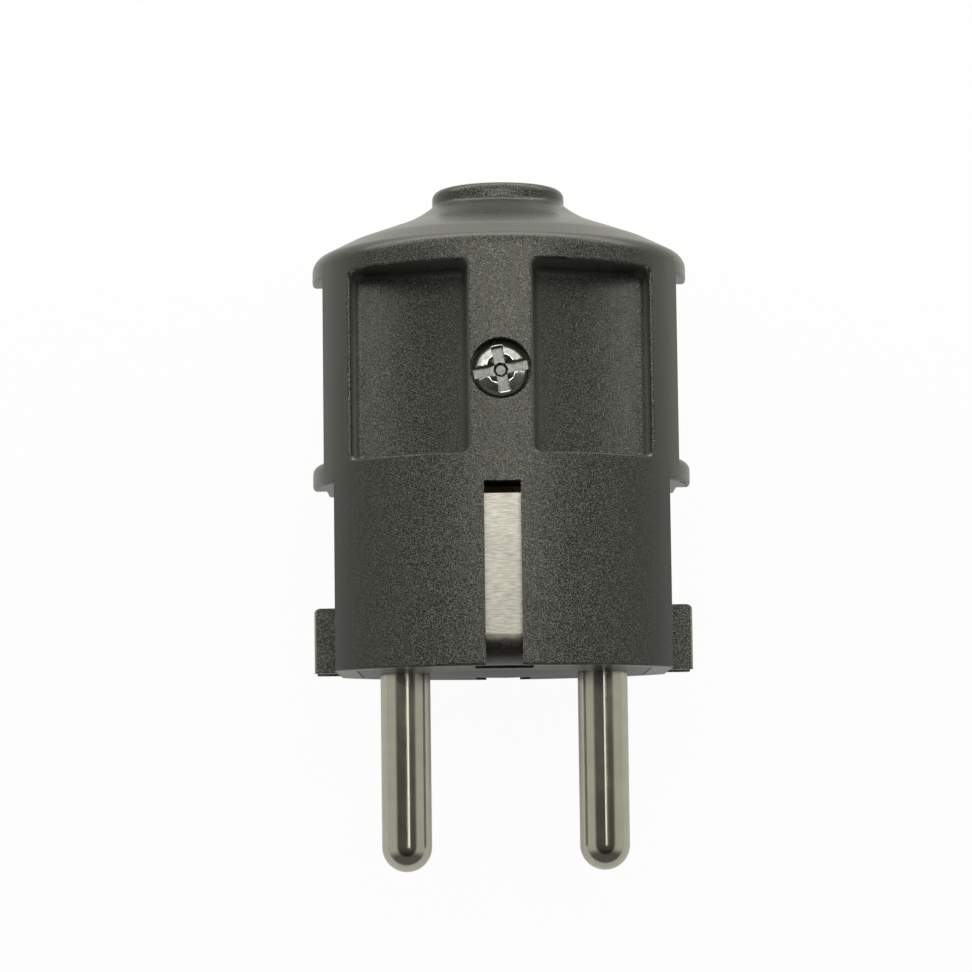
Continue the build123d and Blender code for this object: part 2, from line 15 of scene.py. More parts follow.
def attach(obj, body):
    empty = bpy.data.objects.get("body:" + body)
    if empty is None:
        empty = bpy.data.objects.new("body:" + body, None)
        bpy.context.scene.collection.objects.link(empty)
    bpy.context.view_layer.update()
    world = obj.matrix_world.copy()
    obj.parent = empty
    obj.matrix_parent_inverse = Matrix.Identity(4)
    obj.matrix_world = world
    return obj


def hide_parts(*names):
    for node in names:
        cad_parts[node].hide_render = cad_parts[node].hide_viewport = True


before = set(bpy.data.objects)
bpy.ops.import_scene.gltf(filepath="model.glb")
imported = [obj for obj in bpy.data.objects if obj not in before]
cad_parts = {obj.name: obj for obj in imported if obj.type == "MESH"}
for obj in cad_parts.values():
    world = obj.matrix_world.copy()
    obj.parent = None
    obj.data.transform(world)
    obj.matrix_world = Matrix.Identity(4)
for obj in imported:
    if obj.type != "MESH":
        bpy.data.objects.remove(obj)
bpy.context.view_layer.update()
print("nodes:", sorted(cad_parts))

# %% [markdown]
# ## Where things are
# The camera, the lamps and the screws are placed from a few real sizes of the plug: the
# height of its axis above the ground, the place of its mouth along its length, and the
# distance from the lens down to the axis. They are written once, so that everything that
# hangs on one of them moves with it.

# %% Real sizes that the rest is placed by
MM = 0.001
AXIS_HEIGHT = 18.03 * MM
MOUTH_Y = -13.935 * MM
LENS_TO_PLUG = 345.7 * MM
print("axis at", AXIS_HEIGHT, "m above the ground, mouth at", MOUTH_Y, "m along it")

# %% [markdown]
# ## Camera
# The photograph was taken with a long lens, from a little below the mouth, so the shot
# looks very slightly up along the body. Here the plug lies down, so the same view is from
# above, from a little beyond the mouth, tilted towards the cord entry. The long lens keeps
# the outline almost free of perspective, and a small roll matches the lean of the shot.
# The camera could be turned by three angles, but their order is easily mixed up, so its
# own three directions are written into a matrix instead. The lamps are turned the same way.

# %% Set the camera
LENS = 132.7
SENSOR = 36.0
NEAREST_SEEN = 0.01
VIEW_PITCH = radians(5.2)
VIEW_ROLL = radians(0.72)
VIEW_BELOW_MOUTH = 13.35 * MM
VIEW_LEFT = 1.5 * MM

scene = bpy.context.scene


def put_in(name, data):
    """Make an object of some data in the scene."""
    thing = bpy.data.objects.new(name, data)
    scene.collection.objects.link(thing)
    return thing


def turn_of(along_x, along_y, along_z):
    """Matrix that turns an object's own X, Y and Z to three directions."""
    return Matrix((along_x, along_y, along_z)).transposed().to_4x4()


camera_data = bpy.data.cameras.new("camera")
camera_data.lens = LENS
camera_data.sensor_width = SENSOR
camera_data.clip_start = NEAREST_SEEN
camera = put_in("camera", camera_data)
forward = Vector((0, sin(VIEW_PITCH), -cos(VIEW_PITCH)))
up = Vector((0, cos(VIEW_PITCH), sin(VIEW_PITCH)))
facing = turn_of(forward.cross(up), up, -forward)
lens_place = (-VIEW_LEFT, MOUTH_Y - VIEW_BELOW_MOUTH, AXIS_HEIGHT + LENS_TO_PLUG)
leaning = Matrix.Rotation(-VIEW_ROLL, 4, "Z")
camera.matrix_world = Matrix.Translation(lens_place) @ facing @ leaning
scene.camera = camera
print("camera at", [round(v, 4) for v in camera.matrix_world.translation])

# %% [markdown]
# ## Lamps
# Black plastic is read from what it mirrors. In the photograph a bar of light just beyond
# the lens, with a wider and dimmer one around it, fills the flat front with sparkle. A big
# soft box further on lights the screw, and a bright card close beyond the cord entry makes
# the cone pale. A thin strip on the right draws the bright line down each pin. A picture of
# a studio around the scene could do all this, but five area lamps can each be moved until
# its own reflection fits. Their light is given by how bright their face is, so a lamp can
# change size and still mirror alike.

# %% Light the plug
scene.view_settings.view_transform = "Standard"
LAMP_WHITE = (1.0, 1.0, 0.88)
BODY = (0.0, 0.005, AXIS_HEIGHT)
PINS = (0.0, -0.02, AXIS_HEIGHT)
CARD_HEIGHT = 0.0235
# Each lamp: its place, what it is aimed at, its width, its length and its brightness.
LAMPS = {
    "bar_by_lens": ((0.010, 0.112, 0.40), BODY, 0.34, 0.060, 6.0),
    "long_bar": ((0.010, 0.085, 0.40), BODY, 0.70, 0.13, 0.95),
    "soft_box": ((0.0, 0.31, 0.40), BODY, 0.70, 0.44, 0.95),
    "card_beyond_cord": ((0.0, 0.115, CARD_HEIGHT), (0.0, 0.0, CARD_HEIGHT), 0.30, 0.047, 3.2),
    "thin_strip": ((0.090, 0.0, 0.48), PINS, 0.020, 0.20, 4.0),
}


def area_lamp(name, place, aim, width, length, brightness):
    """Rectangular lamp, its width across the plug, that shines from a place to an aim."""
    data = bpy.data.lights.new(name, "AREA")
    data.shape = "RECTANGLE"
    data.size = width
    data.size_y = length
    data.energy = brightness * pi * width * length
    data.color = LAMP_WHITE
    back = (Vector(place) - Vector(aim)).normalized()
    along = back.cross(Vector((1, 0, 0))).normalized()
    turn = turn_of(along.cross(back), along, back)
    put_in(name, data).matrix_world = Matrix.Translation(place) @ turn


for name, sizes in LAMPS.items():
    area_lamp(name, *sizes)
print("lamps:", ", ".join(LAMPS))

# %% [markdown]
# ## Wiring nodes
# The room, the floor and every finish are small trees of nodes. Each node could be added
# and linked by hand, line by line. The helpers below take numbers and sockets alike and
# give back a socket, so that a tree reads like a sum.

# %% Helpers that wire nodes


def feed(socket, value):
    """Link a socket to another one, or set its value."""
    if isinstance(value, bpy.types.NodeSocket):
        socket.id_data.links.new(value, socket)
    else:
        socket.default_value = value


def node_of(tree, kind, *feeds, **values):
    """Add a node, set its sockets or properties by name, and feed its first sockets."""
    node = tree.nodes.new(kind)
    for name, value in values.items():
        key = name.replace("_", " ")
        if key in node.inputs:
            feed(node.inputs[key], value)
        else:
            setattr(node, name, value)
    for socket, value in zip(node.inputs, feeds):
        feed(socket, value)
    return node


def calc(operation, *values):
    """Sum, product or the like of sockets and numbers, at least one of them a socket."""
    tree = next(value.id_data for value in values if isinstance(value, bpy.types.NodeSocket))
    return node_of(tree, "ShaderNodeMath", *values, operation=operation).outputs[0]


def remap(value, from_range, to_range):
    """Carry a value from one range to another and hold it at the ends."""
    return node_of(value.id_data, "ShaderNodeMapRange", value, *from_range, *to_range).outputs[0]


def scaled(tree, colour, level):
    """Colour made paler or darker by a level."""
    vector = node_of(tree, "ShaderNodeVectorMath", colour, operation="SCALE", Scale=level)
    return vector.outputs[0]


def blend(factor, low, high):
    """Mix two colours by a factor."""
    mix = node_of(
        factor.id_data, "ShaderNodeMix", data_type="RGBA", Factor=factor, A=low, B=high
    )
    return mix.outputs["Result"]


# %% [markdown]
# ## Studio walls
# The room around the lamps is white to the camera. To everything else it is a pale wall
# all round, which gives the metal its broad pale sides, under a dark ceiling, which gives
# it the dark lines beside the bright one. The wall on the photographer's side is dim. Real
# walls around the plug would do the same, but other views would run into them, so the room
# is written into the world, where it has no place and can't be in the way.

# %% Build the room
WHITE = (1, 1, 1, 1)
WALL = 0.66
CEILING = 0.09
DIM_END = 0.15
CEILING_EDGE = (cos(radians(50)), cos(radians(40)))
DIM_EDGE = (-0.60, -0.25)

world = bpy.data.worlds.new("studio")
world.use_nodes = True
scene.world = world
room = world.node_tree
room.nodes.clear()
facing_out = node_of(room, "ShaderNodeTexCoord").outputs["Generated"]
side = node_of(room, "ShaderNodeSeparateXYZ", facing_out).outputs
wall_or_ceiling = remap(side["Z"], CEILING_EDGE, (WALL, CEILING))
dimming = remap(side["Y"], DIM_EDGE, (DIM_END / WALL, 1.0))
room_colour = scaled(room, LAMP_WHITE, calc("MULTIPLY", wall_or_ceiling, dimming))
around = node_of(room, "ShaderNodeBackground", Color=room_colour, Strength=1.0)
white = node_of(room, "ShaderNodeBackground", Color=WHITE, Strength=1.0)
to_camera = node_of(room, "ShaderNodeLightPath").outputs["Is Camera Ray"]
both = node_of(room, "ShaderNodeMixShader", to_camera, around.outputs[0], white.outputs[0])
node_of(room, "ShaderNodeOutputWorld", Surface=both.outputs[0])
print("walls:", WALL, "ceiling:", CEILING)

# %% [markdown]
# ## Floor
# The ground is a plain white sheet that fills the whole view. White paint alone would look
# grey under lamps that are set for the plug, and stronger lamps would bleach the plug. So
# to the camera most of the sheet glows white, which keeps it pale and even, and to the
# shiny pieces that mirror it a part of it does. The rest is plain white paint, which still
# takes the plug's soft shadow.

# %% Lay the floor
FLOOR_HALF = 0.6
PAINT = (0.8, 0.8, 0.8, 1)
GLOW_SHARE = 0.96
MIRRORED_SHARE = 0.25

sheet = bpy.data.meshes.new("floor")
corners = [(-1, -1), (1, -1), (1, 1), (-1, 1)]
sheet.from_pydata([(x * FLOOR_HALF, y * FLOOR_HALF, 0) for x, y in corners], [], [(0, 1, 2, 3)])
floor = put_in("floor", sheet)

floor_paint = bpy.data.materials.new("floor_paint")
floor_paint.use_nodes = True
under = floor_paint.node_tree
under.nodes.clear()
paths = node_of(under, "ShaderNodeLightPath").outputs
seen = calc("MULTIPLY", paths["Is Camera Ray"], GLOW_SHARE)
mirrored = calc("MAXIMUM", paths["Is Glossy Ray"], paths["Is Transmission Ray"])
glow_share = calc("MULTIPLY_ADD", mirrored, MIRRORED_SHARE, seen)
paint = node_of(under, "ShaderNodeBsdfDiffuse", Color=PAINT)
glow = node_of(under, "ShaderNodeEmission", Color=WHITE, Strength=1.0)
painted = node_of(under, "ShaderNodeMixShader", glow_share, paint.outputs[0], glow.outputs[0])
node_of(under, "ShaderNodeOutputMaterial", Surface=painted.outputs[0])
sheet.materials.append(floor_paint)
print("floor:", 2 * FLOOR_HALF, "m square")

# %% [markdown]
# ## Patterns on a surface
# Plastic and metal share a few patterns: cloudy noise, a colour that follows it, and small
# bumps. Pictures wrapped around the pieces could carry them too, but noise that is worked
# out from each point's real place needs no wrapping, never shows a seam and stays in
# millimetres.

# %% Helpers for finishes


def new_finish(name):
    """Material with its shader and the coordinates of each point on the surface."""
    material = bpy.data.materials.new(name)
    material.use_nodes = True
    shader = material.node_tree.nodes["Principled BSDF"]
    return material, shader, node_of(material.node_tree, "ShaderNodeTexCoord").outputs


def noise(place, fineness, detail, roughness):
    """Cloudy noise by the place of each point."""
    cloud = node_of(place.id_data, "ShaderNodeTexNoise", place, Scale=fineness)
    cloud.inputs["Detail"].default_value = detail
    cloud.inputs["Roughness"].default_value = roughness
    return cloud.outputs["Fac"]


def ramp(value, ends, low, high):
    """Colour that goes from low to high while a value goes from one end to the other."""
    node = node_of(value.id_data, "ShaderNodeValToRGB", value)
    for stop, end, colour in zip(node.color_ramp.elements, ends, (low, high)):
        stop.position = end
        stop.color = colour
    return node.outputs["Color"]


def roughen(shader, height, distance):
    """Tilt the shader's surface as bumps of a height would."""
    bump = node_of(
        height.id_data, "ShaderNodeBump", Strength=1.0, Distance=distance, Height=height
    )
    feed(shader.inputs["Normal"], bump.outputs["Normal"])


# %% [markdown]
# ## Painted light on the walls of the finger grips
# The steep walls inside the four finger grips get painted light: a paler colour than the
# rest of the plastic, which stands in for the light that falls on them. Painting them could
# be done by hand, face by face. Here the material finds them by their real place: a point
# belongs to a grip when it is close enough to the middle of the grips along X and Y and far
# enough from it along Z.

# %% Find the grips
GRIPS_MIDDLE = (0, 14.7 * MM, AXIS_HEIGHT)
GRIPS_HALF_WIDTH = 14.02 * MM
GRIPS_HALF_LENGTH = 8.97 * MM
GRIPS_LOWEST = 5.0 * MM


def from_grips(place):
    """Distance of a point from the middle of the four grips along X, Y and Z."""
    tree = place.id_data
    shift = node_of(tree, "ShaderNodeVectorMath", place, GRIPS_MIDDLE, operation="SUBTRACT")
    size = node_of(tree, "ShaderNodeVectorMath", shift.outputs[0], operation="ABSOLUTE")
    return node_of(tree, "ShaderNodeSeparateXYZ", size.outputs[0]).outputs


def in_grips(distance):
    """1 inside a grip and 0 elsewhere."""
    across = calc("LESS_THAN", distance["X"], GRIPS_HALF_WIDTH)
    along = calc("LESS_THAN", distance["Y"], GRIPS_HALF_LENGTH)
    high = calc("GREATER_THAN", distance["Z"], GRIPS_LOWEST)
    return calc("MULTIPLY", calc("MULTIPLY", across, along), high)


print("grips reach", GRIPS_HALF_WIDTH, "m to each side of", GRIPS_MIDDLE)

# %% [markdown]
# ## Moulded plastic
# The mould of such a plug is spark-eroded, so its faces carry a fine grain of small
# shiny facets that sparkle under the lamps, while the walls along its draw come out
# smoother. Real grains would take millions of faces, and bumps alone are lost when the
# picture is cleaned of its noise, so the grain is both a bump and a fleck in the colour. It
# is strongest where the surface faces straight up or down, which gives front and walls from
# one material. The grips' walls also get painted light here, a paler colour that stands in
# for the light falling on them, the outer ones most of all, and the far ends that face the
# mouth get more of it.

# %% Make the plastic
GREY_WARM = (1.0, 1.0, 0.95)
PLASTIC_IOR = 1.42
PLASTIC_GLOSS = (1.0, 1.0, 0.97, 1)
GRAIN = 0.10 * MM
GRAIN_NOISE = (1 / GRAIN, 1.0, 0.6)
GRAIN_ENDS = (0.47, 0.66)
FACING_UP = (0.60, 0.96)
FACING_MOUTH = (-0.45, -0.10)
OUTER_WALL = (12.6 * MM, 13.4 * MM)
# Paler levels for the grips' walls: painted light that stands in for the light falling on them.
GRIP_WALL_PAINTED_LIGHT = 0.09
OUTER_WALL_PAINTED_LIGHT = 0.22
GRIP_END_PAINTED_LIGHT = 0.5


def shade(level):
    """Slightly warm grey of a level, as the moulded plastic has."""
    return (*(level * share for share in GREY_WARM), 1)


def plastic(name, ground, fleck, wall, roughness, grain_height, grain_floor):
    """Black moulded plastic whose sparkling grain fades on walls along the mould's draw, with
    painted light on the grips' walls.
    """
    material, shader, where = new_finish(name)
    shader.inputs["Roughness"].default_value = roughness
    shader.inputs["IOR"].default_value = PLASTIC_IOR
    shader.inputs["Specular Tint"].default_value = PLASTIC_GLOSS
    grain = noise(where["Object"], *GRAIN_NOISE)
    faces = node_of(material.node_tree, "ShaderNodeSeparateXYZ", where["Normal"]).outputs
    grainy = remap(calc("ABSOLUTE", faces["Z"]), FACING_UP, (grain_floor, 1.0))
    roughen(shader, calc("MULTIPLY", grain, grainy), grain_height)

    distance = from_grips(where["Object"])
    inside = in_grips(distance)
    outer = remap(distance["X"], OUTER_WALL, (0.0, 1.0))
    # Painted light: the grips' walls get a paler colour, the outer ones most, and the far ends
    # that face the mouth more of it.
    painted_wall_light = blend(outer, shade(GRIP_WALL_PAINTED_LIGHT), shade(OUTER_WALL_PAINTED_LIGHT))
    walls = blend(inside, shade(wall), painted_wall_light)
    far_end_painted_light = remap(faces["Y"], FACING_MOUTH, (GRIP_END_PAINTED_LIGHT, 0.0))
    grain_left_by_painted_light = calc("SUBTRACT", 1.0, calc("MULTIPLY", far_end_painted_light, inside))
    flecks = ramp(grain, GRAIN_ENDS, shade(ground), shade(fleck))
    feed(shader.inputs["Base Color"], blend(calc("MULTIPLY", grainy, grain_left_by_painted_light), walls, flecks))
    return material


shell_plastic = plastic(
    "shell_plastic", ground=0.003, fleck=0.175, wall=0.022,
    roughness=0.26, grain_height=0.022 * MM, grain_floor=0.12,
)
carrier_plastic = plastic(
    "carrier_plastic", ground=0.008, fleck=0.11, wall=0.024,
    roughness=0.34, grain_height=0.02 * MM, grain_floor=0.3,
)
clamp_plastic = plastic(
    "clamp_plastic", ground=0.022, fleck=0.06, wall=0.036,
    roughness=0.45, grain_height=0.02 * MM, grain_floor=0.3,
)
print("grain:", GRAIN / MM, "mm")

# %% [markdown]
# ## Metals
# The pins and the strap are brass under nickel, the terminals are bare brass, and the
# screws are zinc plated. Each keeps the marks of its making: fine rings around what was
# turned, and fine scratches across the strap's arms, along the sheet it was cut from. They
# could be drawn one by one, but the same noise, finer along one direction than along the
# others, makes all of them. A second, cloudy noise dulls the plating here and there. Painted
# shade darkens the strap where it bends round at the mouth, and the housing screw's drive
# recesses and head sides below the top of its head.

# %% Make the metals
CLOUD_NOISE = (420.0, 3.0, 0.55)
CLOUD_ENDS = (0.3, 0.7)
CLOUD_DULLS = (0.9, 1.15)
MARK_NOISE = (1.0, 4.0, 0.6)
MARK_ENDS = (0.35, 0.65)
SHADE_EDGE_NOISE = (1900.0, 3.0, 0.7)
SHADE_RAGGED = 1.2


def painted_shade_level(place, axis, begins, full, darkness):
    """Level of painted shade that falls along an axis, from 1 to the shade's darkness, with a
    ragged edge.
    """
    edge = SHADE_RAGGED * (begins - full)
    ragged = calc("MULTIPLY_ADD", noise(place, *SHADE_EDGE_NOISE), edge, -edge / 2)
    along = node_of(place.id_data, "ShaderNodeSeparateXYZ", place).outputs[axis]
    return remap(calc("ADD", along, ragged), (full, begins), (darkness, 1.0))


def metal(name, colour, roughness, stretch, mark_depth, mottle, streak=0.0, painted_shade=None):
    """Metal with fine marks and a faint cloud.

    Stretch is how fine the marks are along X, Y and Z. The cloud darkens the colour by
    mottle and the marks darken it by streak. A painted shade is an axis, the place where it
    begins, the lower one where it is full, and the level that it falls to."""
    material, shader, where = new_finish(name)
    tree = material.node_tree
    shader.inputs["Metallic"].default_value = 1.0
    stretched = node_of(tree, "ShaderNodeMapping", where["Object"], Scale=stretch)
    marks = noise(stretched.outputs[0], *MARK_NOISE)
    roughen(shader, marks, mark_depth)
    cloud = noise(where["Object"], *CLOUD_NOISE)
    dullness = [roughness * share for share in CLOUD_DULLS]
    feed(shader.inputs["Roughness"], remap(cloud, CLOUD_ENDS, dullness))
    darkest = (*(c * (1 - mottle) for c in colour), 1)
    tone = ramp(cloud, CLOUD_ENDS, darkest, (*colour, 1))
    tone = scaled(tree, tone, remap(marks, MARK_ENDS, (1.0 - streak, 1.0)))
    # Painted shade: the colour is darkened along an axis, where shade falls.
    if painted_shade is not None:
        tone = scaled(tree, tone, painted_shade_level(where["Object"], *painted_shade))
    feed(shader.inputs["Base Color"], tone)
    return material


RINGS_ALONG_Y = (90.0, 5200.0, 90.0)
RINGS_ALONG_Z = (90.0, 90.0, 5200.0)
SCRATCHES_ALONG_X = (900.0, 8500.0, 8500.0)
EVEN_MARKS = (3200.0, 3200.0, 3200.0)
# Painted shade: the strap is darkened towards the mouth, where it bends round.
STRAP_BEND_SHADE = ("Y", MOUTH_Y + 2.7 * MM, MOUTH_Y + 1.6 * MM, 0.22)
# Painted shade: the housing screw is darkened below the top of its head, in its drive recesses
# and down its sides.
DRIVE_RECESS_SHADE = ("Z", AXIS_HEIGHT + 17.0 * MM, AXIS_HEIGHT + 16.8 * MM, 0.30)
pin_nickel = metal(
    "pin_nickel", (0.50, 0.49, 0.43), roughness=0.14, stretch=RINGS_ALONG_Y,
    mark_depth=0.0005 * MM, mottle=0.12,
)
strap_nickel = metal(
    "strap_nickel", (0.535, 0.515, 0.485), roughness=0.34, stretch=SCRATCHES_ALONG_X,
    mark_depth=0.0004 * MM, mottle=0.16, streak=0.42, painted_shade=STRAP_BEND_SHADE,
)
terminal_brass = metal(
    "terminal_brass", (0.72, 0.53, 0.27), roughness=0.26, stretch=RINGS_ALONG_Y,
    mark_depth=0.0015 * MM, mottle=0.2,
)
screw_zinc = metal(
    "screw_zinc", (0.78, 0.78, 0.80), roughness=0.12, stretch=RINGS_ALONG_Z,
    mark_depth=0.0006 * MM, mottle=0.08,
)
drive_zinc = metal(
    "drive_zinc", (0.74, 0.74, 0.74), roughness=0.18, stretch=EVEN_MARKS,
    mark_depth=0.0004 * MM, mottle=0.15, streak=0.30, painted_shade=DRIVE_RECESS_SHADE,
)
metals = (pin_nickel, strap_nickel, terminal_brass, screw_zinc, drive_zinc)
print("metals:", ", ".join(material.name for material in metals))

# %% [markdown]
# ## Give every piece its finish
# Each solid piece has one material, so the table below is the plug's list of finishes. It
# could be set by hand in the list of materials of each piece, but a table shows at a glance
# that none was left out.

# %% Assign the finishes
FINISHES = {
    "front_shell": shell_plastic,
    "rear_shell": shell_plastic,
    "contact_carrier": carrier_plastic,
    "cord_clamp": clamp_plastic,
    "left_pin": pin_nickel,
    "right_pin": pin_nickel,
    "earth_strap": strap_nickel,
    "earth_terminal": terminal_brass,
    "left_pin_screw": screw_zinc,
    "right_pin_screw": screw_zinc,
    "earth_screw": screw_zinc,
    "left_clamp_screw": screw_zinc,
    "right_clamp_screw": screw_zinc,
    "housing_screw": drive_zinc,
    "housing_nut": screw_zinc,
}
for name, material in FINISHES.items():
    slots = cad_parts[name].data.materials
    slots.clear()
    slots.append(material)
print("finished:", len(FINISHES), "of", len(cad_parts))

# %% [markdown]
# ## Turned and rolled screws
# The terminal and clamp screws are turned cheese-head screws with a sawn slot, and the
# housing screw has a low dome with a slot, a short cross and a punched recess. All have a
# rolled thread, which a solid modeller leaves plain. A thread could be swept along a helix,
# but it would have to be joined to the shank by hand on each of the six. So one tree of
# geometry nodes draws them all from named sizes, with the seat of the head as its origin
# and the shank pointing down.

# %% Name the screw's sizes
LENGTH_INPUTS = {
    "Head radius": 2.3 * MM,
    "Head height": 1.6 * MM,
    "Edge radius": 0.3 * MM,
    "Dome": 0.0,
    "Slot width": 0.7 * MM,
    "Slot depth": 0.8 * MM,
    "Shank radius": 1.5 * MM,
    "Shank length": 4.1 * MM,
    "Pitch": 0.5 * MM,
    "Thread depth": 0.27 * MM,
    "Cross length": 4.2 * MM,
    "Recess radius": 1.5 * MM,
    "Recess floor": 0.45 * MM,
    "Recess depth": 1.6 * MM,
}
OTHER_INPUTS = {
    "Thread steps": "NodeSocketInt",
    "Cross drive": "NodeSocketBool",
    "Seat": "NodeSocketVector",
    "Turn": "NodeSocketFloat",
    "Finish": "NodeSocketMaterial",
}
print("screw sizes:", ", ".join(LENGTH_INPUTS))

# %% [markdown]
# ## Moving a mesh inside the tree
# Both shank and head begin as a plain cylinder of many rings. They get their form when the
# points of each ring are pushed in or out, and their place when the whole is lifted.

# %% Helpers that move a mesh


def radial(mesh, factor):
    """Move every point in or out by a factor of its distance from the screw's axis."""
    tree = mesh.id_data
    squeeze = node_of(tree, "ShaderNodeCombineXYZ", factor, factor, 1.0).outputs[0]
    place = node_of(tree, "GeometryNodeInputPosition").outputs[0]
    moved = node_of(tree, "ShaderNodeVectorMath", place, squeeze, operation="MULTIPLY")
    push = node_of(tree, "GeometryNodeSetPosition", Geometry=mesh, Position=moved.outputs[0])
    return push.outputs["Geometry"]


def lifted(mesh, height):
    """Move a mesh along the screw's axis."""
    tree = mesh.id_data
    shift = node_of(tree, "ShaderNodeCombineXYZ", Z=height).outputs[0]
    move = node_of(tree, "GeometryNodeTransform", Geometry=mesh, Translation=shift)
    return move.outputs["Geometry"]


def squared(value):
    """Value times itself."""
    return calc("MULTIPLY", value, value)


# %% [markdown]
# ## Shank and thread
# A rolled thread is a groove that climbs by one pitch a turn. How deep the surface lies
# there follows from the height and the angle of each point alone, so the groove needs no
# curve. It fades out over one pitch at both ends, which keeps the ends round.

# %% Draw the shank
THREAD_SIDES = 40
OVERLAP = 0.25 * MM


def threaded_shank(tree, given, here):
    """Shank whose rings sink into a helical groove, and which reaches a little into the head."""
    length = calc("ADD", given["Shank length"], OVERLAP)
    half_length = calc("MULTIPLY", length, 0.5)
    shank = node_of(
        tree, "GeometryNodeMeshCylinder", fill_type="NGON", Vertices=THREAD_SIDES,
        Side_Segments=given["Thread steps"], Radius=given["Shank radius"], Depth=length,
    )
    turned = calc("DIVIDE", calc("ARCTAN2", here["Y"], here["X"]), 2 * pi)
    turns = calc("ADD", calc("DIVIDE", here["Z"], given["Pitch"]), turned)
    groove = calc("PINGPONG", calc("MULTIPLY", turns, 2.0), 1.0)
    to_end = calc("SUBTRACT", half_length, calc("ABSOLUTE", here["Z"]))
    fade = calc("MINIMUM", calc("DIVIDE", to_end, given["Pitch"]), 1.0)
    sunk = calc("MULTIPLY", calc("MULTIPLY", groove, fade), given["Thread depth"])
    factor = calc("SUBTRACT", 1.0, calc("DIVIDE", sunk, given["Shank radius"]))
    return lifted(radial(shank.outputs["Mesh"], factor), calc("SUBTRACT", OVERLAP, half_length))


# %% [markdown]
# ## Head
# The head is turned, so its edges are rounded, and the housing screw's is a low dome. The
# rings near both ends are drawn in along a quarter circle, and the rings of the top face
# rise along a parabola. The top face is known by its height, just under the full one.

# %% Draw the head
HEAD_SIDES = 56
HEAD_RINGS = 25
FACE_RINGS = 14
TOP_FACE_SHARE = 0.4999


def crowned_head(tree, given, here):
    """Head with rounded edges and, where it has a dome, a top face that rises to it."""
    head = node_of(
        tree, "GeometryNodeMeshCylinder", fill_type="TRIANGLE_FAN", Vertices=HEAD_SIDES,
        Side_Segments=HEAD_RINGS, Fill_Segments=FACE_RINGS,
        Radius=given["Head radius"], Depth=given["Head height"],
    )
    half_height = calc("MULTIPLY", given["Head height"], 0.5)
    to_end = calc("SUBTRACT", half_height, calc("ABSOLUTE", here["Z"]))
    into_edge = calc("MINIMUM", calc("DIVIDE", to_end, given["Edge radius"]), 1.0)
    height_share = squared(calc("SUBTRACT", 1.0, into_edge))
    inset = calc("SUBTRACT", 1.0, calc("SQRT", calc("SUBTRACT", 1.0, height_share)))
    inset = calc("DIVIDE", calc("MULTIPLY", inset, given["Edge radius"]), given["Head radius"])
    rounded = radial(head.outputs["Mesh"], calc("SUBTRACT", 1.0, inset))

    dome_radius = calc("SUBTRACT", given["Head radius"], given["Edge radius"])
    from_axis = calc("SQRT", calc("ADD", squared(here["X"]), squared(here["Y"])))
    out_share = squared(calc("MINIMUM", calc("DIVIDE", from_axis, dome_radius), 1.0))
    bulge = calc("MULTIPLY", calc("SUBTRACT", 1.0, out_share), given["Dome"])
    top_face = calc("MULTIPLY", given["Head height"], TOP_FACE_SHARE)
    on_top = calc("GREATER_THAN", here["Z"], top_face)
    rise = node_of(tree, "ShaderNodeCombineXYZ", Z=calc("MULTIPLY", bulge, on_top)).outputs[0]
    crowned = node_of(tree, "GeometryNodeSetPosition", Geometry=rounded, Offset=rise)
    smooth = node_of(tree, "GeometryNodeSetShadeSmooth", Geometry=crowned.outputs["Geometry"])
    return lifted(smooth.outputs["Geometry"], half_height)


# %% [markdown]
# ## Drive
# A screwdriver's slot is sawn right across the head. The housing screw also has a shorter
# slot across it and a punched recess in the middle, which narrows to a floor. They could be
# drawn as faces of the head, but cutting them is simpler and can't leave a gap. Blocks and
# a blunt cone stand in for the saw and the punch, and a switch leaves the last two cuts out
# where the head has no cross.

# %% Draw what cuts the drive
SLOT_REACH = 2.4
PUNCH_SIDES = 8


def drive_cutters(tree, given):
    """Blocks and the punch that are cut out of a head, down from its crown."""
    crown = calc("ADD", given["Head height"], given["Dome"])
    height = calc("MULTIPLY", given["Slot depth"], 2.0)

    def block(width_x, width_y):
        """Block whose lower half is in the head."""
        size = node_of(tree, "ShaderNodeCombineXYZ", width_x, width_y, height).outputs[0]
        return lifted(node_of(tree, "GeometryNodeMeshCube", Size=size).outputs["Mesh"], crown)

    def only_with_cross(mesh):
        """Mesh that is there only where the screw has a cross drive."""
        choice = node_of(
            tree, "GeometryNodeSwitch", input_type="GEOMETRY", Switch=given["Cross drive"]
        )
        feed(choice.inputs["True"], mesh)
        return choice.outputs[0]

    punch = node_of(
        tree, "GeometryNodeMeshCone", fill_type="NGON", Vertices=PUNCH_SIDES,
        Radius_Top=given["Recess radius"], Radius_Bottom=given["Recess floor"],
        Depth=given["Recess depth"],
    )
    punched = lifted(punch.outputs["Mesh"], calc("SUBTRACT", crown, given["Recess depth"]))
    return (
        block(calc("MULTIPLY", given["Head radius"], SLOT_REACH), given["Slot width"]),
        only_with_cross(block(given["Slot width"], given["Cross length"])),
        only_with_cross(punched),
    )


# %% [markdown]
# ## The whole screw
# The drive is cut out of the head, head and shank are joined into one closed mesh, and the
# screw is stood on its seat and turned. A mesh that only overlaps would look the same, but
# it wouldn't be one clean piece for other uses. The exact way of cutting is chosen, because
# the quicker one leaves open edges where faces lie in one plane.

# %% Build the screw tree


def joined(tree, operation, meshes, first=None):
    """Meshes added to each other, or cut out of a first one."""
    node = node_of(tree, "GeometryNodeMeshBoolean", operation=operation, solver="EXACT")
    if first is not None:
        feed(node.inputs["Mesh 1"], first)
    for mesh in meshes:
        feed(node.inputs["Mesh 2"], mesh)
    return node.outputs["Mesh"]


